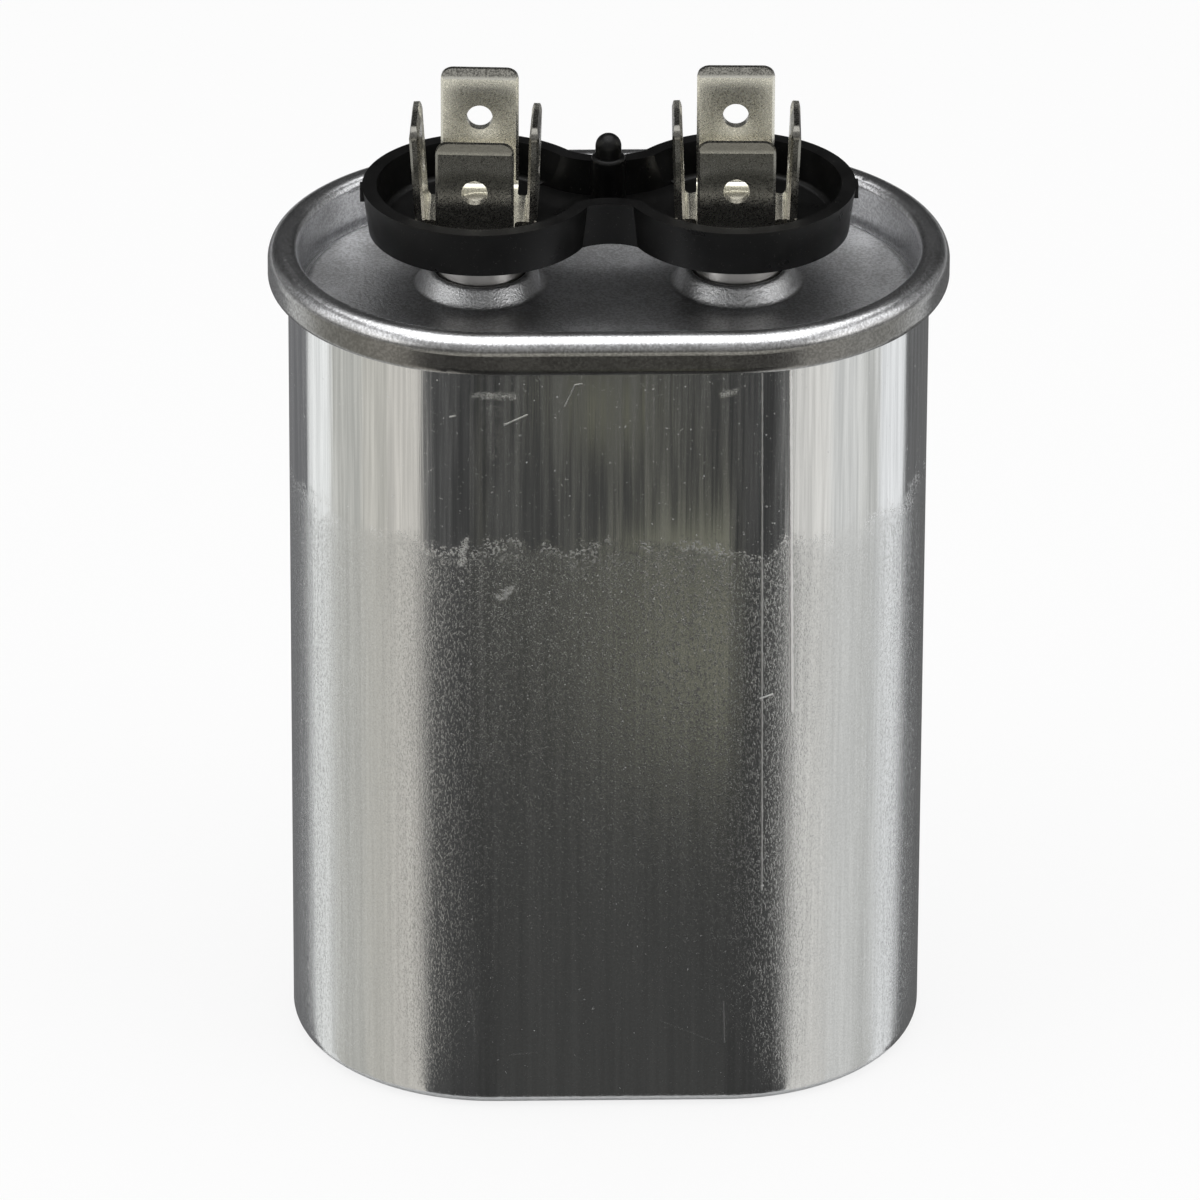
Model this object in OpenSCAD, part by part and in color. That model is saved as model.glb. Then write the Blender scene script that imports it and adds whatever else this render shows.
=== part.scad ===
// Motor run capacitor: oval aluminium can, double-seamed lid and two four-blade terminals.
// Frame: origin at the centre of the base, +Z up, +X along the line of the two terminals.

/* [Can] */
// Width of the can over its round ends
can_width = 51.6; // [44:0.2:60]
// Depth of the can over its flat sides
can_depth = 33; // [31:0.2:36]
// Height from the base to the crest of the seam
can_height = 70.65; // [58:0.05:110]
// Wall thickness of the can
can_wall = 0.4; // [0.3:0.05:0.5]
// Outer radius between the wall and the base
base_radius = 1.6; // [1.2:0.1:2.4]

/* [Double seam] */
// Sheet thickness of the lid
lid_wall = 0.4; // [0.3:0.05:0.5]
// Height of the seam
seam_height = 3.25; // [3.1:0.05:3.8]
// Compound between the folded layers of the seam
seam_gap = 0.14; // [0.08:0.02:0.2]
// Overlap of the can's hook and the lid's hook
hook_overlap = 1.25; // [0.9:0.05:1.4]

/* [Lid] */
// Depth of the panel under the crest of the seam
panel_drop = 3.6; // [3:0.1:4.5]
// Depth of the countersink groove under the panel
groove_depth = 0.85; // [0.6:0.05:1.2]
// Width of the countersink groove
groove_width = 0.55; // [0.4:0.05:0.8]
// Radius of the panel's edge
panel_edge_radius = 0.6; // [0.45:0.05:0.8]
// Height of a boss over the panel
boss_height = 1.4; // [1.35:0.05:2]
// Radius of a boss at its wall
boss_radius = 4.75; // [4.6:0.05:4.9]
// Radius of a boss's shoulder
boss_shoulder = 0.7; // [0.6:0.05:0.8]
// Radius of the fillet at a boss's foot
boss_fillet = 0.6; // [0.3:0.05:0.65]

/* [Terminals] */
// Distance between the two terminals
terminal_pitch = 20.6; // [20:0.1:22]
// Radius of a stud's shank
stud_radius = 1.6; // [1.2:0.1:2]
// Radius of a stud's riveted head
stud_head_radius = 2.7; // [2.3:0.1:3]
// Height of a stud's riveted head
stud_head_height = 0.9; // [0.6:0.1:1.2]
// Radius of a stud's lower pin
stud_pin_radius = 1.1; // [0.8:0.1:1.1]
// Outer radius of a ferrule
ferrule_radius = 3.6; // [3.4:0.05:3.65]
// Width of the gasket's edge that shows round a ferrule
gasket_rim = 0.18; // [0.1:0.01:0.18]
// Distance from the lid's panel up to the cup
cup_lift = 4.95; // [4:0.05:7]

/* [Blades] */
// Width of a quick-connect blade
blade_width = 6.25; // [4.7:0.05:7.2]
// Thickness of a blade
blade_thickness = 0.8; // [0.7:0.05:0.9]
// Height of the rear blade over the base plate
rear_blade_height = 10.2; // [9:0.1:12]
// Height of the front blade over the base plate
front_blade_height = 7.9; // [7.5:0.1:9]
// Height of the side blades over the base plate
side_blade_height = 8.3; // [7.5:0.05:9]
// Room between a front or rear blade's edge and the side blade beside it
notch_width = 0.95; // [0.7:0.05:1.1]
// How far the front and rear blades stand out past the side blades' edges
front_room = 1.1; // [0.9:0.05:1.3]
// Coined chamfer along a blade's edges
blade_edge = 0.2; // [0.05:0.05:0.2]
// Diameter of the hole in a blade
blade_hole = 2.1; // [1.6:0.1:2.2]
// Distance from a blade's tip to its hole
blade_hole_drop = 4.2; // [3.4:0.1:4.4]
// Radius of a blade's upper corners
blade_corner = 1; // [0.6:0.1:1.2]
// Length of the lead-in bevel at a blade's tip
blade_bevel = 0.85; // [0.6:0.05:1.4]
// Thickness of a blade's tip
blade_tip = 0.4; // [0.3:0.05:0.5]
// Inner radius of the folds
fold_radius = 0.35; // [0.25:0.05:0.5]
// How far the relief notches reach in past the folds
notch_reach = 1.5; // [0.8:0.1:1.8]
// Outward lean of the left crown's outer blade, in degrees
left_outer_lean = 3.6; // [0:0.1:4]
// Outward lean of the left crown's inner blade, in degrees
left_inner_lean = 1.6; // [0:0.1:4]
// Outward lean of the right crown's side blades, in degrees
right_lean = 2.2; // [0:0.1:4]
// Turn of the left crown on its stud, in degrees
left_turn = -3.4; // [-4:0.1:4]
// Turn of the right crown on its stud, in degrees
right_turn = -1.4; // [-4:0.1:4]
// Distance of the left crown's blades off their stud's axis
left_shift = -0.27; // [-0.35:0.01:0.35]
// Distance of the right crown's blades off their stud's axis
right_shift = -0.14; // [-0.35:0.01:0.35]

/* [Terminal cup] */
// Outer radius of a cup at its rim
cup_radius = 9.5; // [9.4:0.1:9.8]
// Height of the cup's outer wall
cup_height = 3.8; // [3.2:0.1:5]
// Wall thickness of the cup at its rim
cup_wall = 1.15; // [0.9:0.05:1.2]
// Floor thickness of the cup
cup_floor = 0.9; // [0.7:0.1:1.1]
// Inward draft of the outer wall from the rim to the bottom
cup_draft = 0.5; // [0.2:0.1:0.6]
// Radius between the cup's floor and its wall
cup_fillet = 0.5; // [0.3:0.1:0.8]
// Distance from the centre line to the bridge's front waist
waist_front = 3.8; // [3.4:0.1:4.4]
// Distance from the centre line to the bridge's rear waist
waist_rear = 5.2; // [4.6:0.1:5.6]
// Radius of the front waist's hollow
waist_radius = 3.6; // [3:0.1:5]
// Radius of the post on the bridge
post_radius = 1.05; // [0.8:0.05:1.2]
// Height of the post over the cup's rim
post_rise = 3.1; // [2.6:0.1:4]
// Distance of the post behind the centre line
post_offset = 2.7; // [1.5:0.1:3]
// Radius of the collar at the post's foot
collar_radius = 1.4; // [1.3:0.1:1.8]
// Height of that collar over the cup's rim
collar_rise = 1.2; // [0.6:0.1:1.6]
// Width of the gate stub left at each end of the rim
gate_width = 1.2; // [0.8:0.1:1.6]

/* [Winding] */
// Thickness of the insulating wrap
wrap_thickness = 0.4; // [0.2:0.1:0.6]
// Room between the wrap and the can
wrap_room = 1.1; // [1:0.05:1.6]
// Half thickness of the flat core
core_radius = 1.9; // [1.5:0.1:3]
// Wall thickness of the core
core_wall = 0.7; // [0.4:0.1:0.8]
// Thickness of each end spray
spray_thickness = 0.5; // [0.3:0.1:0.8]
// Thickness of the base insulator's floor
base_insulator_floor = 2.7; // [2:0.1:4]
// Height of the base insulator's rim over its floor
base_insulator_rim = 6.4; // [4:0.1:10]
// Width of the lead tapes
lead_width = 3.6; // [3:0.1:4]
// Thickness of the lead tapes
lead_thickness = 0.3; // [0.2:0.05:0.35]
// Wall thickness of the sleeve on the long lead
sleeve_wall = 0.18; // [0.12:0.02:0.2]

/* [Pressure interrupter] */
// Thickness of the insulating bushings
bushing_thickness = 1.2; // [0.8:0.1:1.6]
// Outer radius of the bushings
bushing_radius = 5.6; // [5.2:0.1:6]
// Thickness of a stud's shoulder under its bushing
shoulder_thickness = 0.8; // [0.6:0.1:1.2]
// Radius of a stud's shoulder
shoulder_radius = 3; // [2.4:0.1:3.2]
// Thickness of the disconnect plate
disconnect_thickness = 1.4; // [1:0.1:2]
// Height of the collars that space the plate from the bushings
collar_height = 1.4; // [1:0.1:2]
// Space over the winding for the leads
lead_space = 2.9; // [2.4:0.1:4]

/* [Hidden] */
$fn = 64;
// Clearance between pieces that slip into each other
fit = 0.03;
// Clearance between the loosely fitting pieces inside the can
loose = 0.05;
// Overshoot of cutting tools
over = 1;

// Plan of the can: two half circles joined by a straight
can_radius = can_depth / 2;
straight = can_width - can_depth;
can_bore = can_radius - can_wall;

// Stations of the double seam, from the chuck wall outwards
chuck_outer = can_bore - fit;
chuck_inner = chuck_outer - lid_wall;
cover_hook_inner = can_radius + seam_gap;
cover_hook_outer = cover_hook_inner + lid_wall;
body_hook_inner = cover_hook_outer + seam_gap;
body_hook_outer = body_hook_inner + can_wall;
seam_inner_face = body_hook_outer + seam_gap;
seam_radius = seam_inner_face + lid_wall;
seam_bottom = can_height - seam_height;
flange_top = can_height - lid_wall - seam_gap;
cover_hook_top = flange_top - can_wall - seam_gap * 2;
body_hook_bottom = cover_hook_top - hook_overlap;
crest_inner_radius = 0.8;
// The can's flange turns over the cover hook in two bends, and the crest follows the second
flange_bend = 0.3;
hook_bend = body_hook_inner - can_radius - flange_bend;
crest_outer_radius = hook_bend + can_wall + seam_gap + lid_wall;

// Heights of the lid
panel_top = can_height - panel_drop;
panel_bottom = panel_top - lid_wall;
groove_bottom = panel_top - groove_depth - lid_wall;
panel_wall_outer = chuck_inner - groove_width;
boss_top = panel_top + boss_height;
boss_hole = ferrule_radius + gasket_rim;

// Terminal stack, from the cup down to the disconnect plate
cup_bottom = panel_top + cup_lift;
gate_depth = 0.7;
floor_top = cup_bottom + cup_floor;
plate_top = floor_top + blade_thickness;
gasket_flange = 1.1;
gasket_flange_radius = bushing_radius - 0.2;
bushing_top = panel_bottom - gasket_flange;
bushing_bottom = bushing_top - bushing_thickness;
shoulder_bottom = bushing_bottom - shoulder_thickness;
disconnect_top = bushing_bottom - collar_height;
disconnect_bottom = disconnect_top - disconnect_thickness;
lead_top = disconnect_bottom - loose;
collar_wall = 1.6;
pin_hole = stud_pin_radius + 0.1;

// Distances between opposite blades of a crown, middle to middle
side_spacing = blade_width + 2 * notch_width + blade_thickness;
front_spacing = blade_width + 2 * front_room + blade_thickness;

// Winding stack, from the base up
film_seat = can_wall + base_insulator_floor;
film_bottom = film_seat + spray_thickness;
upper_spray_top = disconnect_bottom - lead_space;
film_top = upper_spray_top - spray_thickness;
wrap_outer = can_bore - wrap_room;
wrap_inner = wrap_outer - wrap_thickness;
winding_radius = wrap_inner - loose;
wrap_top = upper_spray_top + 0.4;
insulator_rim_top = film_seat + base_insulator_rim;

// The long lead runs down beside the rear flat of the winding, in its sleeve
sleeve_depth = lead_thickness + 2 * (sleeve_wall + fit);
sleeve_width = lead_width + 2 * (sleeve_wall + fit);
sleeve_front = wrap_outer + fit;
sleeve_bottom = insulator_rim_top + 1;
sleeve_top = wrap_top - 2;
lead_front = sleeve_front + sleeve_wall + fit;
lead_x = terminal_pitch / 2 - 0.7;
lead_foot = 5;
tape_bend = 0.2;
left_lead_step = 2.2;

// Colours of the real materials
aluminium = [0.74, 0.75, 0.75];
steel = [0.55, 0.55, 0.54];
tin = [0.68, 0.67, 0.62];
black_plastic = [0.09, 0.09, 0.09];

// ---------------------------------------------------------------- shared shapes

// Sweeps a profile round the can's plan: x is the distance from the end axis, y the height.
module oval_sweep() {
    for (turn = [0, 180]) {
        rotate(turn) translate([straight / 2, 0, 0]) {
            rotate(-90) rotate_extrude(angle = 180) children();
            rotate([90, 0, -90]) linear_extrude(straight) children();
        }
    }
}

// A solid of the can's plan, grown to a radius at its ends
module oval_block(radius, height) {
    oval_sweep() square([radius, height]);
}

// A ring of the can's plan between two radii
module oval_ring(inner, outer, height) {
    oval_sweep() translate([inner, 0]) square([outer - inner, height]);
}

// A rectangle from the axis outwards whose lower outer corner is round
module dished_profile(width, height, radius) {
    square([width - radius, height]);
    translate([0, radius]) square([width, height - radius]);
    translate([width - radius, radius]) circle(radius);
}

// A quarter of a folded sheet, drawn round its inner radius: quarter 0 is +x +y, then anticlockwise
module fold(radius, thickness, quarter) {
    reach = radius + thickness;
    rotate(90 * quarter) intersection() {
        difference() {
            circle(reach);
            circle(radius);
        }
        square(reach);
    }
}

// A tube that stands on z = 0
module tube(inner, outer, height) {
    difference() {
        cylinder(r = outer, h = height);
        translate([0, 0, -over]) cylinder(r = inner, h = height + 2 * over);
    }
}

// Puts a piece on the left (-1) or the right (1) terminal's axis
module at_terminal(side) {
    translate([side * terminal_pitch / 2, 0, 0]) children();
}

// ---------------------------------------------------------------- can and lid

// Wall, base and the flange that turns out and down into the seam
module can_profile() {
    flange_start = flange_top - flange_bend - can_wall;
    hook_start = flange_top - hook_bend - can_wall;
    difference() {
        dished_profile(can_radius, flange_start, base_radius);
        translate([0, can_wall]) dished_profile(can_bore, flange_top, base_radius - can_wall);
    }
    translate([can_radius + flange_bend, flange_start]) fold(flange_bend, can_wall, 1);
    translate([body_hook_inner - hook_bend, hook_start]) fold(hook_bend, can_wall, 0);
    translate([body_hook_inner, body_hook_bottom]) square([can_wall, hook_start - body_hook_bottom]);
}

module can() {
    color(aluminium) oval_sweep() can_profile();
}

// Groove, chuck wall, crest, outer wall and cover hook of the lid
module seam_profile() {
    groove_bend = groove_width / 2;
    groove_floor = groove_bottom + lid_wall + groove_bend;
    curl = (seam_inner_face - cover_hook_outer) / 2;
    curl_top = seam_bottom + lid_wall + curl;
    // U of the countersink groove
    translate([chuck_inner - groove_bend, groove_floor]) {
        fold(groove_bend, lid_wall, 2);
        fold(groove_bend, lid_wall, 3);
    }
    // Chuck wall, and the crest between its two bends
    translate([chuck_inner, groove_floor])
        square([lid_wall, can_height - crest_inner_radius - groove_floor]);
    translate([chuck_inner + crest_inner_radius, can_height - crest_inner_radius])
        fold(crest_inner_radius - lid_wall, lid_wall, 1);
    translate([chuck_inner + crest_inner_radius, can_height - lid_wall])
        square([seam_radius - crest_outer_radius - chuck_inner - crest_inner_radius, lid_wall]);
    translate([seam_radius - crest_outer_radius, can_height - crest_outer_radius])
        fold(crest_outer_radius - lid_wall, lid_wall, 0);
    // Outer wall, the round curl under it and the cover hook
    translate([seam_inner_face, curl_top]) square([lid_wall, can_height - crest_outer_radius - curl_top]);
    translate([seam_inner_face - curl, curl_top]) {
        fold(curl, lid_wall, 2);
        fold(curl, lid_wall, 3);
    }
    translate([cover_hook_inner, curl_top]) square([lid_wall, cover_hook_top - curl_top]);
}

// Flat panel with its rounded edge turned down to the groove
module panel_profile() {
    inner_bend = panel_edge_radius - lid_wall;
    edge = panel_wall_outer - panel_edge_radius;
    translate([0, panel_bottom]) square([edge, lid_wall]);
    translate([edge, panel_top - panel_edge_radius]) fold(inner_bend, lid_wall, 0);
    translate([panel_wall_outer, groove_bottom + lid_wall + groove_width / 2])
        mirror([1, 0]) square([lid_wall, groove_depth - groove_width / 2 - panel_edge_radius]);
}

// Outline of a boss's skin, grown inwards by an inset for its hollow side
module boss_profile(inset) {
    shoulder = boss_shoulder - inset;
    wall = boss_radius - inset;
    height = boss_height + lid_wall - inset;
    square([wall - shoulder, height]);
    square([wall, height - shoulder]);
    translate([wall - shoulder, height - shoulder]) circle(shoulder);
}

module boss_skin() {
    rotate_extrude() {
        boss_profile(0);
        difference() {
            translate([0, lid_wall]) square([boss_radius + boss_fillet, boss_fillet]);
            translate([boss_radius + boss_fillet, lid_wall + boss_fillet]) circle(boss_fillet);
        }
    }
}

module lid() {
    color(steel) difference() {
        union() {
            oval_sweep() {
                panel_profile();
                seam_profile();
            }
            for (side = [-1, 1])
                at_terminal(side) translate([0, 0, panel_bottom]) boss_skin();
        }
        for (side = [-1, 1]) at_terminal(side) {
            translate([0, 0, panel_bottom]) rotate_extrude() boss_profile(lid_wall);
            translate([0, 0, panel_bottom]) cylinder(r = boss_hole, h = boss_height + 2 * over);
        }
    }
}

// Compound that fills the fold between the can's wall, the cover hook and the can's hook
module seam_compound() {
    curl_floor = seam_bottom + lid_wall;
    color("dimgray") oval_sweep() difference() {
        translate([can_radius, curl_floor + 0.15])
            square([body_hook_inner - can_radius, flange_top - can_wall - curl_floor - 0.15]);
        can_profile();
        translate([cover_hook_inner, seam_bottom]) {
            square([lid_wall, cover_hook_top - seam_bottom]);
            square([2 * lid_wall, body_hook_bottom - seam_bottom]);
        }
    }
}

// ---------------------------------------------------------------- terminal cup

// Bridge between the cups: a block whose front and rear are hollowed by drafted cones
module bridge(inset, from, to) {
    half_pitch = terminal_pitch / 2;
    lean = cup_draft / cup_height;
    block_end = half_pitch - ferrule_radius;
    cup_middle = cup_radius - cup_draft / 2 - inset;
    // The rear hollow is a little wider than one that would run smoothly into both cups
    rear_radius = 1.15 * (pow(half_pitch, 2) + pow(waist_rear, 2) - pow(cup_radius, 2))
        / (2 * (cup_radius - waist_rear));
    for (side = [[-1, waist_front, waist_radius], [1, waist_rear, rear_radius]]) {
        middle = side[1] + side[2];
        foot = side[2] + inset + cup_draft;
        span = pow(middle, 2) + pow(half_pitch, 2);
        // The block ends where both circles overlap
        edge = middle * (pow(cup_middle, 2) - pow(foot - cup_draft / 2, 2) + span) / (2 * span);
        difference() {
            translate([-block_end, min(0, side[0] * edge), from])
                cube([2 * block_end, edge, to - from]);
            translate([0, side[0] * middle, from - over]) cylinder(
                r1 = foot - lean * (from - over), r2 = foot - lean * (to + over), h = to - from + 2 * over);
        }
    }
}

// Domed post with a collar, which stands in the bridge's floor
module post() {
    rim = cup_height - cup_floor / 2;
    collar_edge = 0.3;
    cylinder(r = post_radius, h = rim + post_rise - post_radius);
    translate([0, 0, rim + post_rise - post_radius]) sphere(post_radius);
    rotate_extrude() {
        square([collar_radius, rim + collar_rise - collar_edge]);
        square([collar_radius - collar_edge, rim + collar_rise]);
        translate([collar_radius - collar_edge, rim + collar_rise - collar_edge]) circle(collar_edge);
    }
}

module terminal_cup() {
    half_pitch = terminal_pitch / 2;
    foot = cup_radius - cup_draft;
    floor_edge = foot - cup_wall;
    color(black_plastic) translate([0, 0, cup_bottom]) {
        difference() {
            union() {
                for (side = [-1, 1]) at_terminal(side) cylinder(r1 = foot, r2 = cup_radius, h = cup_height);
                bridge(0, 0, cup_height);
            }
            for (side = [-1, 1]) at_terminal(side) {
                translate([0, 0, cup_floor]) rotate_extrude() {
                    polygon([
                        [0, 0], [floor_edge - cup_fillet, 0], [floor_edge, cup_fillet],
                        [cup_radius - cup_wall, cup_height - cup_floor],
                        [cup_radius - cup_wall, cup_height], [0, cup_height]
                    ]);
                    translate([floor_edge - cup_fillet, cup_fillet]) circle(cup_fillet);
                }
                translate([0, 0, -over]) cylinder(r = stud_radius + fit, h = cup_height);
            }
            bridge(cup_wall, cup_floor, cup_height + over);
        }
        translate([0, post_offset, cup_floor / 2]) post();
        for (side = [-1, 1])
            translate([side * (half_pitch + cup_radius - gate_depth / 4), 0, cup_height - gate_width / 2])
                cube([gate_depth, gate_width, gate_width], center = true);
    }
}

// ---------------------------------------------------------------- crowns

// A blade's section up its height, with its long edges chamfered
module blade_section(height) {
    half = blade_width / 2;
    flat = blade_thickness / 2;
    linear_extrude(height) polygon([
        [-half, blade_edge - flat], [blade_edge - half, -flat], [half - blade_edge, -flat],
        [half, blade_edge - flat], [half, flat - blade_edge], [half - blade_edge, flat],
        [blade_edge - half, flat], [-half, flat - blade_edge]
    ]);
}

// Flat of a blade from its fold's axis up, with rounded corners, a bevelled tip and its hole
module blade(height) {
    half = blade_width / 2;
    difference() {
        intersection() {
            translate([0, blade_thickness / 2, 0]) rotate([90, 0, 0]) linear_extrude(blade_thickness) {
                translate([-half, 0]) square([blade_width, height - blade_corner]);
                translate([blade_corner - half, 0]) square([blade_width - 2 * blade_corner, height]);
                for (x = [blade_corner - half, half - blade_corner])
                    translate([x, height - blade_corner]) circle(blade_corner);
            }
            rotate([90, 0, 90]) translate([0, 0, -half]) linear_extrude(blade_width) polygon([
                [-blade_thickness / 2, 0], [blade_thickness / 2, 0],
                [blade_thickness / 2, height - blade_bevel], [blade_tip / 2, height],
                [-blade_tip / 2, height], [-blade_thickness / 2, height - blade_bevel]
            ]);
            blade_section(height);
        }
        translate([0, 0, height - blade_hole_drop]) rotate([90, 0, 0])
            cylinder(d = blade_hole, h = 2 * blade_thickness, center = true);
    }
}

// A blade folded up from the base plate towards -Y, its middle at a distance from the stud's axis
module folded_blade(distance, height, lean) {
    fold_axis = distance - blade_thickness / 2 - fold_radius;
    reach = fold_radius + blade_thickness;
    translate([0, -fold_axis, reach]) {
        rotate([0, 90, 180]) rotate_extrude(angle = 90 - lean)
            translate([fold_radius, -blade_width / 2]) square([blade_thickness, blade_width]);
        rotate([lean, 0, 0]) translate([0, -fold_radius - blade_thickness / 2, 0])
            blade(height - fold_radius);
    }
}

// One terminal, standing on z = 0: a base plate with a blade folded up from each side
module crown(shift, leans) {
    fold_y = (front_spacing - blade_thickness) / 2 - fold_radius;
    fold_x = (side_spacing - blade_thickness) / 2 - fold_radius;
    notch_x = (blade_width + notch_width) / 2;
    notch_y = fold_y - notch_reach;
    difference() {
        translate([shift, 0, 0]) difference() {
            union() {
                translate([-fold_x, -fold_y, 0]) cube([2 * fold_x, 2 * fold_y, blade_thickness]);
                folded_blade(front_spacing / 2, front_blade_height, 0);
                rotate(180) folded_blade(front_spacing / 2, rear_blade_height, 0);
                rotate(-90) folded_blade(side_spacing / 2, side_blade_height, leans[0]);
                rotate(90) folded_blade(side_spacing / 2, side_blade_height, leans[1]);
            }
            for (x = [-notch_x, notch_x], way = [0, 180]) rotate(way) translate([x, notch_y, -over]) {
                height = over + blade_thickness + fold_radius;
                translate([-notch_width / 2, notch_width / 2, 0])
                    cube([notch_width, front_spacing, height]);
                translate([0, notch_width / 2, 0]) cylinder(d = notch_width, h = height);
            }
        }
        translate([0, 0, -over]) cylinder(r = stud_radius + fit, h = blade_thickness + 2 * over);
    }
}

module left_crown() {
    color(tin) at_terminal(-1) translate([0, 0, floor_top])
        rotate(left_turn) crown(left_shift, [left_outer_lean, left_inner_lean]);
}

module right_crown() {
    color(tin) at_terminal(1) translate([0, 0, floor_top])
        rotate(right_turn) crown(right_shift, [right_lean, right_lean]);
}

// ---------------------------------------------------------------- terminal stack

// Shank with a riveted head on the crown, a shoulder under the bushing and the pin for the lead
module stud(side) {
    cap_radius = (pow(stud_head_radius, 2) + pow(stud_head_height, 2)) / (2 * stud_head_height);
    color(steel) at_terminal(side) {
        translate([0, 0, lead_top]) cylinder(r = stud_pin_radius, h = plate_top - lead_top);
        translate([0, 0, shoulder_bottom]) cylinder(r = shoulder_radius, h = shoulder_thickness);
        translate([0, 0, bushing_bottom]) cylinder(r = stud_radius, h = plate_top - bushing_bottom);
        translate([0, 0, plate_top]) rotate_extrude() intersection() {
            translate([0, stud_head_height - cap_radius]) circle(cap_radius);
            square([stud_head_radius, stud_head_height]);
        }
    }
}

module left_stud() {
    stud(-1);
}

module right_stud() {
    stud(1);
}

// Metal sleeve from the bushing up to the underside of the cup
module ferrule(side) {
    color([0.5, 0.47, 0.43]) at_terminal(side) translate([0, 0, bushing_top])
        tube(stud_radius + fit, ferrule_radius, cup_bottom - bushing_top);
}

module left_ferrule() {
    ferrule(-1);
}

module right_ferrule() {
    ferrule(1);
}

// Rubber seal: a flange under the panel, a plug in the boss and a thin rim in its hole
module gasket(side) {
    recess = 0.1;
    color([0.05, 0.05, 0.05]) at_terminal(side) translate([0, 0, bushing_top]) difference() {
        union() {
            cylinder(r = gasket_flange_radius, h = gasket_flange);
            translate([0, 0, gasket_flange]) {
                rotate_extrude() boss_profile(lid_wall + fit);
                cylinder(r = boss_hole, h = boss_top - panel_bottom - recess);
            }
        }
        translate([0, 0, -over]) cylinder(r = ferrule_radius, h = boss_top);
    }
}

module left_gasket() {
    gasket(-1);
}

module right_gasket() {
    gasket(1);
}

module bushing(side) {
    color("peru") at_terminal(side) translate([0, 0, bushing_bottom])
        tube(stud_radius + fit, bushing_radius, bushing_thickness);
}

module left_bushing() {
    bushing(-1);
}

module right_bushing() {
    bushing(1);
}

// ---------------------------------------------------------------- pressure interrupter

// Plate with a collar round each stud's shoulder and a skirt that stands on the winding's wrap
module disconnect_plate() {
    slot = sleeve_width + 4 * loose;
    collar_inner = shoulder_radius + loose;
    color("saddlebrown") difference() {
        union() {
            translate([0, 0, disconnect_bottom]) oval_block(wrap_outer, disconnect_thickness);
            translate([0, 0, wrap_top])
                oval_ring(wrap_inner - wrap_thickness, wrap_outer, disconnect_bottom - wrap_top);
            for (side = [-1, 1]) at_terminal(side) translate([0, 0, disconnect_top])
                tube(collar_inner, collar_inner + collar_wall, collar_height);
        }
        for (side = [-1, 1]) at_terminal(side) translate([0, 0, disconnect_bottom - over])
            cylinder(r = pin_hole, h = disconnect_thickness + 2 * over);
        translate([lead_x - slot / 2, can_radius / 2, wrap_top - over])
            cube([slot, can_radius, disconnect_bottom - wrap_top + over]);
    }
}

// Tape that steps down from x = 0 to a foot beyond, drawn with its upper face at the top height
module step_tape(lead_in, drop, foot) {
    reach = tape_bend + lead_thickness;
    translate([-lead_in, -lead_thickness]) square([lead_in, lead_thickness]);
    translate([0, -reach]) fold(tape_bend, lead_thickness, 0);
    translate([tape_bend, reach - drop]) square([lead_thickness, drop - 2 * reach]);
    translate([tape_bend + reach, reach - drop]) fold(tape_bend, lead_thickness, 2);
    translate([tape_bend + reach, -drop]) square([foot, lead_thickness]);
}

// Short lead: from the left stud's pin down to the upper end spray
module left_lead() {
    color("silver") translate([(lead_width - terminal_pitch) / 2, -left_lead_step, lead_top])
        rotate([90, 0, -90]) linear_extrude(lead_width)
            step_tape(left_lead_step + stud_pin_radius, lead_top - upper_spray_top, lead_foot);
}

// Long lead: from the right stud's pin over the winding's edge and down to the lower end spray
module right_lead() {
    reach = tape_bend + lead_thickness;
    fold_y = lead_front - tape_bend;
    foot_bottom = film_seat - lead_thickness;
    color("silver") translate([lead_x - lead_width / 2, 0, 0]) rotate([90, 0, 90])
        linear_extrude(lead_width) {
            translate([-stud_pin_radius, lead_top - lead_thickness])
                square([fold_y + stud_pin_radius, lead_thickness]);
            translate([fold_y, lead_top - reach]) fold(tape_bend, lead_thickness, 0);
            translate([lead_front, foot_bottom + reach])
                square([lead_thickness, lead_top - foot_bottom - 2 * reach]);
            translate([fold_y, foot_bottom + reach]) fold(tape_bend, lead_thickness, 3);
            translate([fold_y - lead_foot, foot_bottom]) square([lead_foot, lead_thickness]);
        }
}

module lead_sleeve() {
    bore_width = lead_width + 2 * fit;
    bore_depth = lead_thickness + 2 * fit;
    color("wheat") translate([lead_x, sleeve_front, sleeve_bottom]) difference() {
        translate([-sleeve_width / 2, 0, 0]) cube([sleeve_width, sleeve_depth, sleeve_top - sleeve_bottom]);
        translate([-bore_width / 2, sleeve_wall, -over])
            cube([bore_width, bore_depth, sleeve_top - sleeve_bottom + 2 * over]);
    }
}

// ---------------------------------------------------------------- winding

module winding() {
    color([0.85, 0.86, 0.88]) translate([0, 0, film_bottom])
        oval_ring(core_radius + fit, winding_radius, film_top - film_bottom);
}

module winding_core() {
    color("white") translate([0, 0, film_bottom])
        oval_ring(core_radius - core_wall, core_radius, film_top - film_bottom);
}

module top_end_spray() {
    color("darkgray") translate([0, 0, film_top])
        oval_ring(core_radius + fit, winding_radius, spray_thickness);
}

module bottom_end_spray() {
    color("darkgray") translate([0, 0, film_seat])
        oval_ring(core_radius + fit, winding_radius, spray_thickness);
}

module winding_wrap() {
    color([0.93, 0.88, 0.7]) translate([0, 0, film_seat])
        oval_ring(wrap_inner, wrap_outer, wrap_top - film_seat);
}

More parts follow.
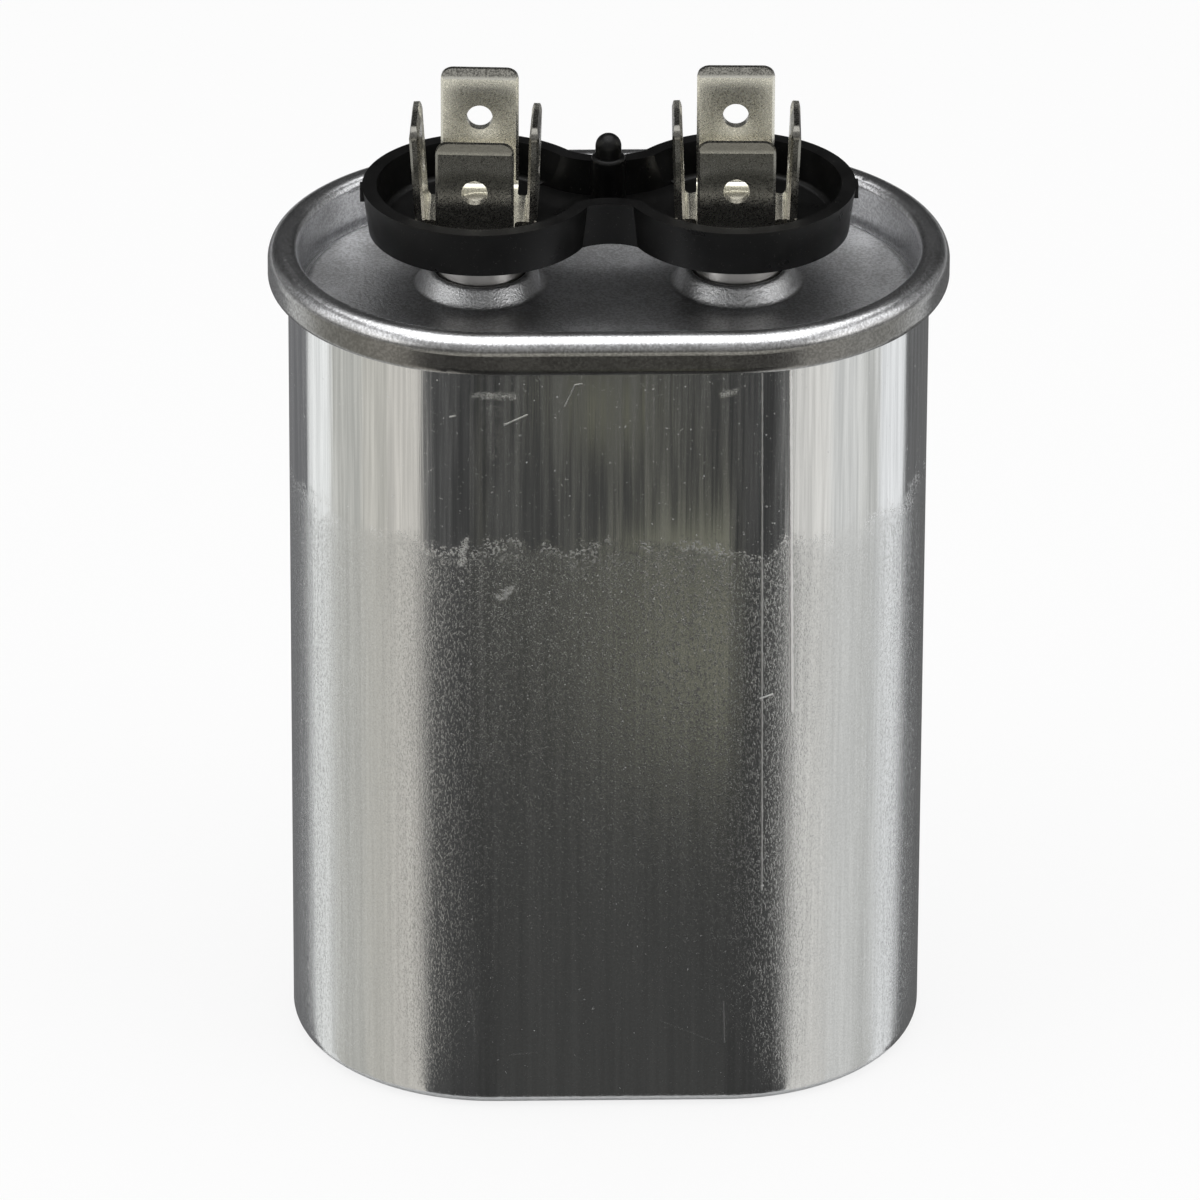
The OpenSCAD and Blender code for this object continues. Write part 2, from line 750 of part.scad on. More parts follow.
// Floor and rim that seat the winding, slotted for the long lead
module base_insulator() {
    outer = can_bore - loose;
    slot = sleeve_width + 4 * loose;
    color([0.2, 0.22, 0.25]) difference() {
        union() {
            translate([0, 0, can_wall]) oval_sweep()
                dished_profile(outer, base_insulator_floor, base_radius - can_wall);
            translate([0, 0, film_seat]) oval_ring(wrap_outer + loose, outer, base_insulator_rim);
        }
        translate([lead_x - slot / 2, lead_front - tape_bend - lead_foot - loose, film_seat - lead_thickness - loose])
            cube([slot, can_radius, base_insulator_rim + lead_thickness + loose + over]);
    }
}

can();
lid();
seam_compound();
terminal_cup();
left_crown();
right_crown();
left_stud();
right_stud();
left_ferrule();
right_ferrule();
left_gasket();
right_gasket();
left_bushing();
right_bushing();
disconnect_plate();
left_lead();
right_lead();
lead_sleeve();
winding();
winding_core();
top_end_spray();
bottom_end_spray();
winding_wrap();
base_insulator();
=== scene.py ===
import math

import bpy
from mathutils import Euler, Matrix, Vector

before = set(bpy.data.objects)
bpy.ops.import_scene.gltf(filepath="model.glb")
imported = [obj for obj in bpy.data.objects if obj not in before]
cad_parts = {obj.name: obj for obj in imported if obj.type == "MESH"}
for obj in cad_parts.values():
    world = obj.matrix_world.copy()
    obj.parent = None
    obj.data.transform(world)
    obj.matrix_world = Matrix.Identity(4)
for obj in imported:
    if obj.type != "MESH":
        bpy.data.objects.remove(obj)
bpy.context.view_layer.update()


# ------------------------------------------------------------------ studio
# A long lens looks down on the capacitor from the front. It stands on a plain pale
# floor, under one soft overhead panel, with a large and a small panel at each side.

CAMERA_LENS, SENSOR_WIDTH, FARTHEST_SEEN = 386.9, 36.0, 20.0
CAMERA_PLACE = (-0.024393, -0.931522, 0.523892)
CAMERA_TURN = (62.4675, -0.2185, -1.3499)

camera_data = bpy.data.cameras.new("camera")
camera_data.lens = CAMERA_LENS
camera_data.sensor_width = SENSOR_WIDTH
camera_data.clip_end = FARTHEST_SEEN
camera = bpy.data.objects.new("camera", camera_data)
camera.location = CAMERA_PLACE
camera.rotation_euler = Euler([math.radians(angle) for angle in CAMERA_TURN])
bpy.context.collection.objects.link(camera)
bpy.context.scene.camera = camera
bpy.context.scene.view_settings.view_transform = "Standard"


def add(tree, kind, sockets=None, out=0, **settings):
    """Adds a shader node with its sockets set or linked, and returns one of its outputs."""
    made = tree.nodes.new(kind)
    for name, value in settings.items():
        setattr(made, name, value)
    for name, value in (sockets or {}).items():
        if isinstance(value, bpy.types.NodeSocket):
            tree.links.new(value, made.inputs[name])
        else:
            made.inputs[name].default_value = value
    return made.outputs[out]


def math_node(tree, operation, *values):
    """A Math node on one to three values, each a number or an output."""
    return add(tree, "ShaderNodeMath", dict(enumerate(values)), operation=operation)


def ramp(tree, value, low, high, to_low=0.0, to_high=1.0):
    """A smooth step of a value from one level to another."""
    return add(tree, "ShaderNodeMapRange", {
        "Value": value, "From Min": low, "From Max": high, "To Min": to_low, "To Max": to_high,
    }, interpolation_type="SMOOTHSTEP")


def axes_of(tree, vector):
    """The x, y and z of a place or a direction."""
    made = tree.nodes.new("ShaderNodeSeparateXYZ")
    tree.links.new(vector, made.inputs[0])
    return made.outputs


# the room: a dim base, with more light from the sides, from above and from the front
# over the horizon; each grows between two values of the direction's x, z or y
ROOM_LIGHT, SIDE_LIGHT, OVERHEAD_LIGHT, FORWARD_LIGHT = 0.045, 0.30, 0.55, 0.55
SIDE_FROM, SIDE_FULL = 0.5, 0.8
OVERHEAD_FROM, OVERHEAD_FULL = 0.62, 0.9
FORWARD_FROM, FORWARD_FULL = -0.1, -0.4
HORIZON_FROM, HORIZON_FULL = 0.05, 0.22

world = bpy.data.worlds.new("studio")
bpy.context.scene.world = world
world.use_nodes = True
tree = world.node_tree
tree.nodes.clear()
across, depth, up = axes_of(tree, add(tree, "ShaderNodeTexCoord"))
sideways = math_node(tree, "ABSOLUTE", across)
sideways = ramp(tree, sideways, SIDE_FROM, SIDE_FULL, 0.0, SIDE_LIGHT)
overhead = ramp(tree, up, OVERHEAD_FROM, OVERHEAD_FULL, 0.0, OVERHEAD_LIGHT)
forward = ramp(tree, depth, FORWARD_FROM, FORWARD_FULL, 0.0, FORWARD_LIGHT)
forward = math_node(tree, "MULTIPLY", forward, ramp(tree, up, HORIZON_FROM, HORIZON_FULL))
panels = math_node(tree, "ADD", sideways, math_node(tree, "MAXIMUM", overhead, forward))
room = math_node(tree, "ADD", panels, ROOM_LIGHT)
paths = tree.nodes.new("ShaderNodeLightPath")
studio_light = add(tree, "ShaderNodeBackground", {"Strength": room})
white = add(tree, "ShaderNodeBackground", {"Strength": 1.0})
mixed = add(tree, "ShaderNodeMixShader", {
    0: paths.outputs["Is Camera Ray"], 1: studio_light, 2: white})
tree.links.new(mixed, tree.nodes.new("ShaderNodeOutputWorld").inputs[0])


def panel_mesh(name, corners, material):
    """A flat card from its corners, which is part of the studio."""
    mesh = bpy.data.meshes.new(name)
    mesh.from_pydata(corners, [], [list(range(len(corners)))])
    card = bpy.data.objects.new(name, mesh)
    bpy.context.collection.objects.link(card)
    mesh.materials.append(material)
    return card


def studio_material(name, color, strength=None):
    """A plain surface of the studio: lit like paper, or glowing where a strength is given."""
    material = bpy.data.materials.new(name)
    material.use_nodes = True
    shader = material.node_tree.nodes["Principled BSDF"]
    shader.inputs["Base Color"].default_value = (*color, 1)
    shader.inputs["Roughness"].default_value = 1.0
    shader.inputs["Specular IOR Level"].default_value = 0.0
    if strength is not None:
        shader.inputs["Base Color"].default_value = (0, 0, 0, 1)
        shader.inputs["Emission Color"].default_value = (*color, 1)
        shader.inputs["Emission Strength"].default_value = strength
    return material


# the floor: pale paper, which keeps a share of the object's shadow
FLOOR_HALF, FLOOR_GREY, FLOOR_WHITE_SHARE = 6, 0.9, 0.82

paper = studio_material("pale_floor", (FLOOR_GREY, FLOOR_GREY, FLOOR_GREY))
tree = paper.node_tree
seen = add(tree, "ShaderNodeEmission", {"Strength": 1.0})
paths = tree.nodes.new("ShaderNodeLightPath")
share = math_node(tree, "MULTIPLY", paths.outputs["Is Camera Ray"], FLOOR_WHITE_SHARE)
surface = add(tree, "ShaderNodeMixShader", {
    0: share, 1: tree.nodes["Principled BSDF"].outputs[0], 2: seen})
tree.links.new(surface, tree.nodes["Material Output"].inputs[0])
panel_mesh("floor", [(-FLOOR_HALF, -FLOOR_HALF, 0), (FLOOR_HALF, -FLOOR_HALF, 0),
                     (FLOOR_HALF, FLOOR_HALF, 0), (-FLOOR_HALF, FLOOR_HALF, 0)], paper)

# Flat cards on the floor, which only reflections see: dark before the can, white off
# its front corners and dim at its ends. Each is a fan between two directions that leave
# the can's round end. A row gives both angles, the brightness and the tint; a pair of
# angles gives the place at the can's foot and the course from there.
END_CENTRE, END_RADIUS = 0.0093, 0.0165
FAN_REACH, FRONT_REACH = 0.6, 0.62
FAN_LIFT, OLIVE_LIFT, FAR_LIFT = 0.0003, 0.0006, 0.0009
LEFT_FANS = [
    (0, 6, 0.050, (1.0, 1.0, 0.97)),
    (6, 13, 0.058, (1.0, 1.0, 0.98)),
    (13, 18.5, 0.075, (1.0, 1.0, 0.98)),
    (18.5, 21.0, 0.12, (1.0, 1.0, 0.98)),
    (21.0, 31, 0.64, (1.02, 0.98, 0.90)),
    (31, 40, 0.57, (1.02, 0.99, 0.90)),
    (40, 53, 0.54, (1.0, 0.99, 0.92)),
    (53, (60.5, 130), 0.92, (0.99, 1.0, 0.98)),
    ((60.5, 130), 90, 0.18, (1.0, 1.0, 1.02))]
RIGHT_FANS = [
    (0, 6, 0.050, (1.0, 1.0, 0.97)),
    (6, 14, 0.050, (1.0, 1.0, 0.98)),
    (14, 17.6, 0.08, (1.0, 1.0, 0.98)),
    (17.6, 18.6, 0.17, (1.0, 1.0, 0.98)),
    (18.6, 31, 0.72, (1.01, 0.99, 0.94)),
    (31, 41, 0.72, (1.0, 1.0, 0.97)),
    (41, 49, 0.60, (1.0, 1.0, 0.96)),
    (49, (56.8, 123), 0.90, (0.99, 1.0, 1.0)),
    ((56.8, 123), 90, 0.14, (1.0, 1.0, 1.0))]
FRONT_LEVEL, FRONT_TINT = 0.062, (1.0, 1.0, 0.96)
FAR_LEVEL, FAR_TINT, FAR_HALF, FAR_FROM, FAR_TO = 1.2, (1.0, 0.98, 0.90), 0.30, -0.25, -1.20
OLIVE_TINT = (1.0, 0.99, 0.74)
OLIVE_CARDS = [
    (0.30, [(0.0035, -0.1165), (0.0192, -0.1165), (0.0172, -0.080), (0.0052, -0.077)]),
    (0.19, [(-0.0030, -0.150), (0.0078, -0.147), (0.0064, -0.138), (0.0016, -0.134),
            (-0.0004, -0.140)]),
    (0.14, [(-0.0310, -0.143), (-0.0285, -0.144), (-0.0180, -0.076), (-0.0196, -0.075)])]


def reflection_card(name, corners, level, tint):
    """A glowing card that only the metal's reflections show."""
    card = panel_mesh(name, corners, studio_material(name, tint, level))
    card.visible_camera = False
    card.visible_diffuse = False
    card.visible_shadow = False


def fan_edge(side, angle):
    """The two floor points of a fan's edge, at the can's foot and far out."""
    at_foot, course = angle if isinstance(angle, tuple) else (angle, 2 * angle)
    turn, course = math.radians(at_foot), math.radians(course)
    foot = Vector((side * (END_CENTRE + END_RADIUS * math.sin(turn)),
                   -END_RADIUS * math.cos(turn), FAN_LIFT))
    away = Vector((side * math.sin(course), -math.cos(course), 0.0))
    return [foot, foot + FAN_REACH * away]


for hand, side, fans in (("left", -1, LEFT_FANS), ("right", 1, RIGHT_FANS)):
    for number, (start, end, level, tint) in enumerate(fans):
        near, far = fan_edge(side, start)
        next_near, next_far = fan_edge(side, end)
        reflection_card(f"fan_{hand}_{number}", [near, far, next_far, next_near], level, tint)
reflection_card("front_card", [
    (-END_CENTRE, -END_RADIUS, FAN_LIFT), (END_CENTRE, -END_RADIUS, FAN_LIFT),
    (END_CENTRE, -FRONT_REACH, FAN_LIFT), (-END_CENTRE, -FRONT_REACH, FAN_LIFT)],
    FRONT_LEVEL, FRONT_TINT)
for number, (level, corners) in enumerate(OLIVE_CARDS):
    reflection_card(f"olive_card_{number}", [(x, y, OLIVE_LIFT) for x, y in corners],
                    level, OLIVE_TINT)
reflection_card("far_card", [
    (-FAR_HALF, FAR_FROM, FAR_LIFT), (-FAR_HALF, FAR_TO, FAR_LIFT),
    (FAR_HALF, FAR_TO, FAR_LIFT), (FAR_HALF, FAR_FROM, FAR_LIFT)], FAR_LEVEL, FAR_TINT)

LAMPS_FACE = Vector((0, 0, 0.04))


def lamp(name, place, size, watts):
    """A soft square lamp that faces the capacitor."""
    data = bpy.data.lights.new(name, "AREA")
    data.size = size
    data.energy = watts
    light = bpy.data.objects.new(name, data)
    light.location = place
    light.rotation_euler = (LAMPS_FACE - Vector(place)).to_track_quat("-Z", "Y").to_euler()
    bpy.context.collection.objects.link(light)


lamp("overhead_panel", (0.0, 0.02, 0.75), 0.85, 3.6)
lamp("left_panel", (-0.7, -0.12, 0.42), 0.55, 1.0)
lamp("right_panel", (0.7, -0.12, 0.42), 0.55, 1.0)
lamp("low_left_panel", (-0.55, -0.42, 0.28), 0.26, 0.35)
lamp("low_right_panel", (0.55, -0.42, 0.28), 0.26, 0.35)


# ------------------------------------------------------------------ can
# A drawn aluminium cup, oval in plan, left bare. The punch has drawn fine streaks
# up its wall, and below a ragged line the wall has a duller, speckled skin.


def finish_material(name, color, metallic, roughness):
    """A material with its tree, its Principled shader and the shared frame's coordinates."""
    material = bpy.data.materials.new(name)
    material.use_nodes = True
    tree = material.node_tree
    shader = tree.nodes["Principled BSDF"]
    shader.inputs["Base Color"].default_value = (*color, 1)
    shader.inputs["Metallic"].default_value = metallic
    shader.inputs["Roughness"].default_value = roughness
    place = add(tree, "ShaderNodeTexCoord", out=3)
    return material, tree, shader, place


def dress(material, *names):
    """Gives CAD nodes a material."""
    for name in names:
        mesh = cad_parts[name].data
        mesh.materials.clear()
        mesh.materials.append(material)


def group(name, inputs, outputs):
    """An empty node group with its sockets; gives the tree, its inputs and its outputs."""
    tree = bpy.data.node_groups.new(name, "ShaderNodeTree")
    for label, kind in inputs:
        tree.interface.new_socket(label, in_out="INPUT", socket_type=kind)
    for label, kind in outputs:
        tree.interface.new_socket(label, in_out="OUTPUT", socket_type=kind)
    given = tree.nodes.new("NodeGroupInput").outputs
    return tree, given, tree.nodes.new("NodeGroupOutput").inputs


def place_group(tree, built, sockets):
    """Places a node group in a material and gives its outputs."""
    made = tree.nodes.new("ShaderNodeGroup")
    made.node_tree = built
    for name, value in sockets.items():
        if isinstance(value, bpy.types.NodeSocket):
            tree.links.new(value, made.inputs[name])
        else:
            made.inputs[name].default_value = value
    return made.outputs


def noise(tree, place, scale, detail, rough=0.5):
    """Noise over a place, with so many waves to the metre."""
    return add(tree, "ShaderNodeTexNoise", {
        "Vector": place, "Scale": scale, "Detail": detail, "Roughness": rough})


def blend_colors(tree, part, first, second):
    """A colour between two others, each three numbers or an output."""
    first, second = ((*color, 1) if isinstance(color, tuple) else color
                     for color in (first, second))
    return add(tree, "ShaderNodeMix", {0: part, 6: first, 7: second}, out=2, data_type="RGBA")


# draw streaks: long in one direction and fine across it
streaks, given, put = group("draw_streaks", [
    ("Place", "NodeSocketVector"), ("Across", "NodeSocketFloat"),
    ("Stretch", "NodeSocketVector")], [("Streak", "NodeSocketFloat")])
stretched = add(streaks, "ShaderNodeVectorMath", {0: given["Place"], 1: given["Stretch"]},
                operation="MULTIPLY")
streak = noise(streaks, stretched, given["Across"], 3.0, 0.6)
streaks.links.new(streak, put["Streak"])

# speckle: the grain of a satin metal skin
GRAIN_FROM, GRAIN_FULL = 0.3, 0.7
speckle, given, put = group("speckle", [
    ("Place", "NodeSocketVector"), ("Grain", "NodeSocketFloat")],
    [("Speckle", "NodeSocketFloat")])
grain = noise(speckle, given["Place"], given["Grain"], 2.0, 0.7)
speckle.links.new(ramp(speckle, grain, GRAIN_FROM, GRAIN_FULL), put["Speckle"])

# stroke: a ragged mark along a straight line on the front, from one point to another in
# x and z; from a raggedness of DUSTY_FROM on it breaks up into dust
STROKE_SOCKETS = ("From X", "From Z", "To X", "To Z", "Width", "Ragged")
RAGGED_WAVES, DUST_WAVES = 1700.0, 9000.0
DUSTY_FROM, DUSTY_FULL = 2.7, 3.0
DUST_FROM, DUST_FULL = 0.40, 0.62
STROKE_EDGE, STROKE_CORE = 1.0, 0.3
stroke, given, put = group("stroke", [
    ("Place", "NodeSocketVector"), *((label, "NodeSocketFloat") for label in STROKE_SOCKETS)],
    [("Mark", "NodeSocketFloat")])
x, y, z = axes_of(stroke, given["Place"])
side_x = math_node(stroke, "SUBTRACT", x, given["From X"])
side_z = math_node(stroke, "SUBTRACT", z, given["From Z"])
run_x = math_node(stroke, "SUBTRACT", given["To X"], given["From X"])
run_z = math_node(stroke, "SUBTRACT", given["To Z"], given["From Z"])
along = math_node(stroke, "MULTIPLY_ADD", side_x, run_x,
                  math_node(stroke, "MULTIPLY", side_z, run_z))
length = math_node(stroke, "MULTIPLY_ADD", run_x, run_x,
                   math_node(stroke, "MULTIPLY", run_z, run_z))
part = math_node(stroke, "MAXIMUM", math_node(stroke, "DIVIDE", along, length), 0.0)
part = math_node(stroke, "MINIMUM", part, 1.0)
off_x = math_node(stroke, "SUBTRACT", side_x, math_node(stroke, "MULTIPLY", run_x, part))
off_z = math_node(stroke, "SUBTRACT", side_z, math_node(stroke, "MULTIPLY", run_z, part))
away = math_node(stroke, "SQRT", math_node(stroke, "MULTIPLY_ADD", off_x, off_x,
                                           math_node(stroke, "MULTIPLY", off_z, off_z)))
waver = noise(stroke, given["Place"], RAGGED_WAVES, 5.0, 0.7)
waver = math_node(stroke, "SUBTRACT", waver, 0.5)
wide = math_node(stroke, "MULTIPLY", given["Width"],
                 math_node(stroke, "MULTIPLY_ADD", waver, given["Ragged"], 1.0))
front = math_node(stroke, "LESS_THAN", y, 0.0)
dust = noise(stroke, given["Place"], DUST_WAVES, 2.0, 0.7)
dust = ramp(stroke, dust, DUST_FROM, DUST_FULL)
dusty = ramp(stroke, given["Ragged"], DUSTY_FROM, DUSTY_FULL)
solid = math_node(stroke, "MAXIMUM", math_node(stroke, "SUBTRACT", 1.0, dusty), dust)
covered = math_node(stroke, "DIVIDE", away, wide)
covered = ramp(stroke, covered, STROKE_EDGE, STROKE_CORE)
covered = math_node(stroke, "MULTIPLY", covered, math_node(stroke, "MULTIPLY", front, solid))
stroke.links.new(covered, put["Mark"])

# scratches and rubs of handling: ends in x and z, half width, raggedness, brightness
SCRATCHES = [
    (0.01178, 0.0690, 0.01222, 0.0200, 0.00009, 2.6, 0.42),
    (0.01219, 0.0204, 0.01230, 0.0204, 0.00012, 2.0, 0.8),
    (0.01190, 0.0376, 0.01290, 0.0379, 0.00009, 1.6, 0.9),
    (0.01405, 0.0680, 0.01452, 0.0360, 0.00014, 1.2, 0.95),
    (-0.00866, 0.0625, -0.00687, 0.06337, 0.00009, 2.4, 0.5),
    (-0.00386, 0.06415, -0.00307, 0.0660, 0.00007, 2.2, 0.45),
    (-0.00307, 0.0660, -0.00250, 0.0661, 0.00007, 2.2, 0.45),
    (-0.01299, 0.06303, -0.01259, 0.06316, 0.00010, 2.0, 0.5),
    (-0.01090, 0.0651, -0.00800, 0.0650, 0.00050, 3.6, 0.32),
    (-0.00960, 0.0640, -0.00960, 0.0600, 0.00110, 3.0, 0.16),
    (-0.00902, 0.04709, -0.00806, 0.0478, 0.00045, 5.5, 0.6),
    (0.00860, 0.0650, 0.00960, 0.0653, 0.00040, 2.9, 0.3),
    (-0.01210, 0.0500, -0.01170, 0.0522, 0.00040, 5.5, 0.6),
    (-0.00820, 0.0050, -0.00600, 0.0052, 0.00012, 2.9, 0.35),
    (-0.01140, 0.0110, -0.01100, 0.0062, 0.00010, 2.9, 0.30),
    (0.00420, 0.0080, 0.00860, 0.0060, 0.00010, 2.9, 0.30),
    (0.00920, 0.0098, 0.00930, 0.0060, 0.00009, 2.6, 0.40),
    (-0.01140, 0.0650, -0.01143, 0.0322, 0.00012, 1.6, 0.16),
    (-0.01061, 0.0650, -0.01046, 0.0322, 0.00030, 1.2, 0.13)]

# The ragged line lies about 51 mm up: noise lowers the height that it is read from by up
# to RAGGED_DEPTH, so that the line dips between clusters of flecks.
RAGGED_DEPTH = 0.0075
SKIN_FROM, SKIN_FULL = 0.0480, 0.0466
FLECKS_LOW, FLECKS_MOST, FLECKS_HIGH = 0.0464, 0.0474, 0.0488
DULL_FROM, DULL_FULL = 0.0500, 0.0440
STREAK_DARK, STREAK_BRIGHT = (0.68, 0.69, 0.70), (0.94, 0.95, 0.96)
DULL_SKIN, BARE_SCRATCH = (0.30, 0.30, 0.29), (1.0, 1.0, 1.0)

# waves to the metre across each streak or grain, and how much slower a streak changes
# along the wall
LONG_WAVES, LONG_STRETCH = 3000.0, (1.0, 1.0, 0.02)
BROAD_WAVES, BROAD_STRETCH = 900.0, (1.0, 1.0, 0.03)
DASH_WAVES, DASH_STRETCH = 7000.0, (1.0, 1.0, 0.45)
SKIN_WAVES, PATCH_WAVES = 6500.0, 260.0
FLECK_WAVES, CLUSTER_WAVES, RARE_WAVES = 4200.0, 420.0, 3600.0

# noise levels at which a mark starts and is full, and the share that each has
FLECK_FROM, FLECK_FULL, FLECK_SHARE = 0.50, 0.62, 0.55
CLUSTER_FROM, CLUSTER_FULL = 0.40, 0.58
RARE_FROM, RARE_FULL, RARE_SHARE = 0.67, 0.73, 0.3
DASH_FROM, DASH_FULL = 0.52, 0.66
BROAD_SHARE, LONG_SHARE = 0.6, 0.9
STREAK_LOST, STREAK_MEAN = 0.6, 0.72
TONE_FROM, TONE_FULL = 0.52, 0.98
DULL_BASE, DULL_GRAIN = 0.06, 0.20

# roughness of the drawn wall, and what the dull skin, a streak and a mark add to it
WALL_ROUGH, SKIN_ROUGHER, MARK_ROUGHER = 0.09, 0.09, 0.45
STREAK_ROUGH_FROM, STREAK_ROUGH_FULL, STREAK_ROUGHER = 0.55, 1.0, 0.10

# parts of the relief, and its depth
SKIN_RELIEF, DASH_RELIEF, LOWER_RELIEF, MARK_RELIEF = 0.55, 1.1, 1.25, 2.6
WALL_RELIEF_DEPTH = 0.000005

drawn, tree, shader, place = finish_material("drawn_aluminium", (0.80, 0.81, 0.82), 1.0, 0.3)
height = axes_of(tree, place)[2]
long_streak = place_group(tree, streaks, {
    "Place": place, "Across": LONG_WAVES, "Stretch": LONG_STRETCH})["Streak"]
broad_streak = place_group(tree, streaks, {
    "Place": place, "Across": BROAD_WAVES, "Stretch": BROAD_STRETCH})["Streak"]
dashes = place_group(tree, streaks, {
    "Place": place, "Across": DASH_WAVES, "Stretch": DASH_STRETCH})["Streak"]
skin = place_group(tree, speckle, {"Place": place, "Grain": SKIN_WAVES})["Speckle"]
patches = noise(tree, place, PATCH_WAVES, 5.0, 0.65)
line = math_node(tree, "MULTIPLY_ADD", patches, -RAGGED_DEPTH, height)
lower = ramp(tree, line, SKIN_FROM, SKIN_FULL)
near_line = math_node(tree, "MULTIPLY", ramp(tree, line, FLECKS_LOW, FLECKS_MOST),
                      ramp(tree, line, FLECKS_HIGH, FLECKS_MOST))
flecks = ramp(tree, noise(tree, place, FLECK_WAVES, 3.0, 0.75), FLECK_FROM, FLECK_FULL)
clusters = ramp(tree, noise(tree, place, CLUSTER_WAVES, 2.0), CLUSTER_FROM, CLUSTER_FULL)
rare = ramp(tree, noise(tree, place, RARE_WAVES, 3.0, 0.8), RARE_FROM, RARE_FULL)
fleck = math_node(tree, "MULTIPLY", math_node(tree, "MULTIPLY", flecks, clusters), near_line)
dash = math_node(tree, "MULTIPLY", ramp(tree, dashes, DASH_FROM, DASH_FULL), lower)
streak = math_node(tree, "MULTIPLY_ADD", broad_streak, BROAD_SHARE,
                   math_node(tree, "MULTIPLY", long_streak, LONG_SHARE))
# below the line the streaks fade into the dull skin
lost = math_node(tree, "MULTIPLY", lower, STREAK_LOST)
streak = add(tree, "ShaderNodeMix", {0: lost, 2: streak, 3: STREAK_MEAN}, data_type="FLOAT")

marks = None
for *values, level in SCRATCHES:
    mark = place_group(tree, stroke, {
        "Place": place, **dict(zip(STROKE_SOCKETS, values))})["Mark"]
    mark = math_node(tree, "MULTIPLY", mark, level)
    marks = mark if marks is None else math_node(tree, "MAXIMUM", marks, mark)
bright = math_node(tree, "MAXIMUM", marks, math_node(tree, "MULTIPLY", fleck, FLECK_SHARE))
bright = math_node(tree, "MAXIMUM", bright, math_node(tree, "MULTIPLY", rare, RARE_SHARE))

in_streak = ramp(tree, streak, STREAK_ROUGH_FROM, STREAK_ROUGH_FULL, 0.0, STREAK_ROUGHER)
in_streak = math_node(tree, "MULTIPLY", in_streak,
                      math_node(tree, "MULTIPLY_ADD", lower, -STREAK_LOST, 1.0))
roughness = math_node(tree, "MULTIPLY_ADD", lower, SKIN_ROUGHER, WALL_ROUGH)
roughness = math_node(tree, "ADD", roughness, in_streak)
roughness = math_node(tree, "MULTIPLY_ADD", bright, MARK_ROUGHER, roughness)
tree.links.new(roughness, shader.inputs["Roughness"])

tone = ramp(tree, streak, TONE_FROM, TONE_FULL)
tone = blend_colors(tree, tone, STREAK_DARK, STREAK_BRIGHT)
dull = math_node(tree, "MULTIPLY", ramp(tree, line, DULL_FROM, DULL_FULL),
                 math_node(tree, "MULTIPLY_ADD", skin, DULL_GRAIN, DULL_BASE))
tone = blend_colors(tree, dull, tone, DULL_SKIN)
tone = blend_colors(tree, bright, tone, BARE_SCRATCH)
tree.links.new(tone, shader.inputs["Base Color"])

relief = math_node(tree, "MULTIPLY_ADD", skin, SKIN_RELIEF,
                   math_node(tree, "MULTIPLY", dash, DASH_RELIEF))
relief = math_node(tree, "MULTIPLY", relief, lower)
relief = math_node(tree, "MULTIPLY_ADD", relief, LOWER_RELIEF, streak)
relief = math_node(tree, "MULTIPLY_ADD", bright, MARK_RELIEF, relief)
tree.links.new(add(tree, "ShaderNodeBump", {
    "Height": relief, "Strength": 1.0, "Distance": WALL_RELIEF_DEPTH}), shader.inputs["Normal"])
dress(drawn, "can")


# ------------------------------------------------------------------ lid and seam
# A pressed aluminium end with a countersunk panel and two bosses, rolled together
# with the can's flange into a double seam; black compound fills the fold.

# oval distance: how far a point lies from the lid's centre line, as if on a round lid
oval, given, put = group("oval_distance", [("Place", "NodeSocketVector")],
                         [("Distance", "NodeSocketFloat")])
x, y, _ = axes_of(oval, given["Place"])
past = math_node(oval, "SUBTRACT", math_node(oval, "ABSOLUTE", x), END_CENTRE)
past = math_node(oval, "MAXIMUM", past, 0.0)
spread = math_node(oval, "ADD", math_node(oval, "MULTIPLY", past, past),
                   math_node(oval, "MULTIPLY", y, y))
oval.links.new(math_node(oval, "SQRT", spread), put["Distance"])

# boss flow: the normal of a softly drawn boss round each terminal, and where it holds
TERMINAL_FROM_MIDDLE = 0.0103
FLANK_START, FLANK_WIDTH = 0.0037, 0.0018
FLOW_ENDS, FLOW_FULL = 0.0056, 0.0053
FLOW_TOP, FLOW_BELOW = 0.0705, 0.0700
flow, given, put = group("boss_flow", [("Place", "NodeSocketVector")],
                         [("Normal", "NodeSocketVector"), ("Mask", "NodeSocketFloat")])
x, y, z = axes_of(flow, given["Place"])
off = math_node(flow, "SUBTRACT", math_node(flow, "ABSOLUTE", x), TERMINAL_FROM_MIDDLE)
off = math_node(flow, "MULTIPLY", off, math_node(flow, "SIGN", x))
radius = math_node(flow, "SQRT", math_node(flow, "MULTIPLY_ADD", off, off,
                                           math_node(flow, "MULTIPLY", y, y)))
climb = math_node(flow, "DIVIDE", math_node(flow, "SUBTRACT", radius, FLANK_START), FLANK_WIDTH)
climb = math_node(flow, "MAXIMUM", math_node(flow, "MULTIPLY", climb, math.pi), 0.0)
tilt = math_node(flow, "SINE", math_node(flow, "MINIMUM", climb, math.pi))
slant = math_node(flow, "DIVIDE", math_node(flow, "SINE", tilt), radius)
normal = add(flow, "ShaderNodeCombineXYZ", {
    0: math_node(flow, "MULTIPLY", off, slant), 1: math_node(flow, "MULTIPLY", y, slant),
    2: math_node(flow, "COSINE", tilt)})
flow.links.new(normal, put["Normal"])
mask = math_node(flow, "MULTIPLY", ramp(flow, radius, FLOW_ENDS, FLOW_FULL),
                 ramp(flow, z, FLOW_TOP, FLOW_BELOW))
flow.links.new(mask, put["Mask"])

